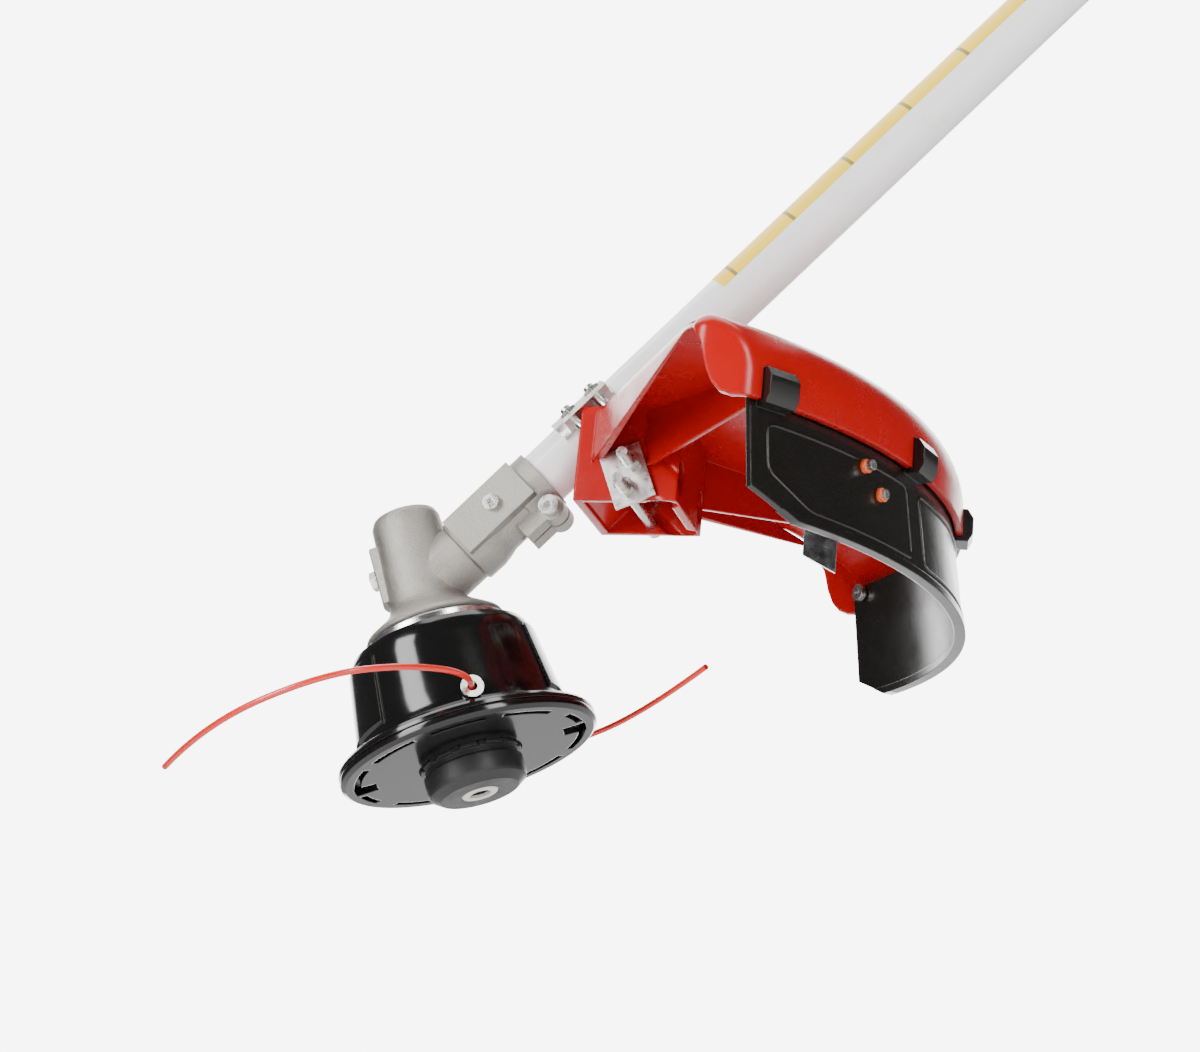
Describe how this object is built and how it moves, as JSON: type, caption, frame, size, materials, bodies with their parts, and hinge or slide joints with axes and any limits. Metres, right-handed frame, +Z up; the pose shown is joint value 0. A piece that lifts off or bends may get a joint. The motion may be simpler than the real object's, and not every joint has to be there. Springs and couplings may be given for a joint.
{
  "type": "string trimmer",
  "caption": "String trimmer lower unit: white drive tube, angled bevel gearbox, black bump-feed head with two cut lines, and a red guard with a black skirt.",
  "frame": {"origin": "centre of the drive tube's upper end, on the tube's axis", "axes": "+Z up, parallel to the head's spin axis; +X forward to the operator's end, so the tube runs up and toward +X; +Y to the side, the guard is symmetric about Y=0"},
  "size_m": [0.7743, 0.3, 0.4133],
  "materials": {
    "tube_paint": "white gloss paint",
    "bush_plastic": "moulded",
    "label_yellow": "satin film",
    "cast_housing": "sand-blasted casting",
    "zinc": "zinc plated",
    "zinc_sheet": "zinc plated sheet",
    "bearing_steel": "ground",
    "spring_steel": "oiled spring steel",
    "seal_rubber": "matt",
    "guard_red": "gloss moulded",
    "skirt_black": "semi-gloss moulded",
    "blade_steel": "polished hardened steel",
    "shaft_steel": "ground",
    "gear_steel": "case-hardened, oiled",
    "machined_ring": "turned",
    "head_black": "gloss nylon",
    "eyelet_metal": "satin",
    "knob_black": "matt nylon",
    "insert_pale": "satin",
    "spool_plastic": "moulded",
    "line_nylon": "extruded nylon"
  },
  "bodies": {
    "frame": {"drive_tube": "tube_paint", "tube_bushes": "bush_plastic", "label_band": "label_yellow", "gearbox_housing": "cast_housing", "clamp_screw": "zinc", "locating_screw": "zinc", "grease_plug": "zinc", "bearing_outer_races": "bearing_steel", "circlips": "spring_steel", "oil_seal": "seal_rubber", "guard_shell": "guard_red", "guard_saddle": "zinc_sheet", "clamp_bolts": "zinc", "clamp_nuts": "zinc", "guard_bracket": "zinc_sheet", "bracket_bolts": "zinc", "bracket_nuts": "zinc", "skirt": "skirt_black", "skirt_screw": "zinc", "line_cutter": "blade_steel", "blade_screws": "zinc"},
    "drive": {"drive_shaft": "shaft_steel", "pinion": "gear_steel", "drive_inner_races": "bearing_steel", "drive_balls": "bearing_steel"},
    "head": {"output_shaft": "shaft_steel", "driven_gear": "gear_steel", "gear_spacer": "shaft_steel", "head_inner_races": "bearing_steel", "head_balls": "bearing_steel", "thrust_plate": "machined_ring", "bell": "head_black", "head_nut": "zinc", "eyelets": "eyelet_metal", "line_near": "line_nylon", "line_far": "line_nylon", "feed_spring": "spring_steel"},
    "cover": {"cap": "head_black"},
    "bump_knob": {"knob": "knob_black", "knob_insert": "insert_pale"},
    "line_spool": {"spool": "spool_plastic", "line_winding": "line_nylon"}
  },
  "joints": [
    {"name": "head_spin", "type": "hinge", "parent": "frame", "child": "head", "pos_m": [-0.65254, 0, -0.30429], "axis": [0, 0, 1], "continuous": true},
    {"name": "drive_spin", "type": "hinge", "parent": "frame", "child": "drive", "pos_m": [0, 0, 0], "axis": [0.9063, 0, 0.4226], "continuous": true},
    {"name": "cap_release", "type": "slide", "parent": "head", "child": "cover", "axis": [0, 0, -1], "range_m": [0, 0.045]},
    {"name": "knob_bump", "type": "slide", "parent": "cover", "child": "bump_knob", "axis": [0, 0, 1], "range_m": [0, 0.006], "stiffness_N_per_m": 900, "springref_m": -0.003, "deforming": ["feed_spring"]},
    {"name": "spool_feed", "type": "hinge", "parent": "bump_knob", "child": "line_spool", "pos_m": [-0.65254, 0, -0.36429], "axis": [0, 0, 1], "continuous": true}
  ],
  "couplings": [
    {"joint": "drive_spin", "follows": "head_spin", "ratio": -1.3571}
  ]
}
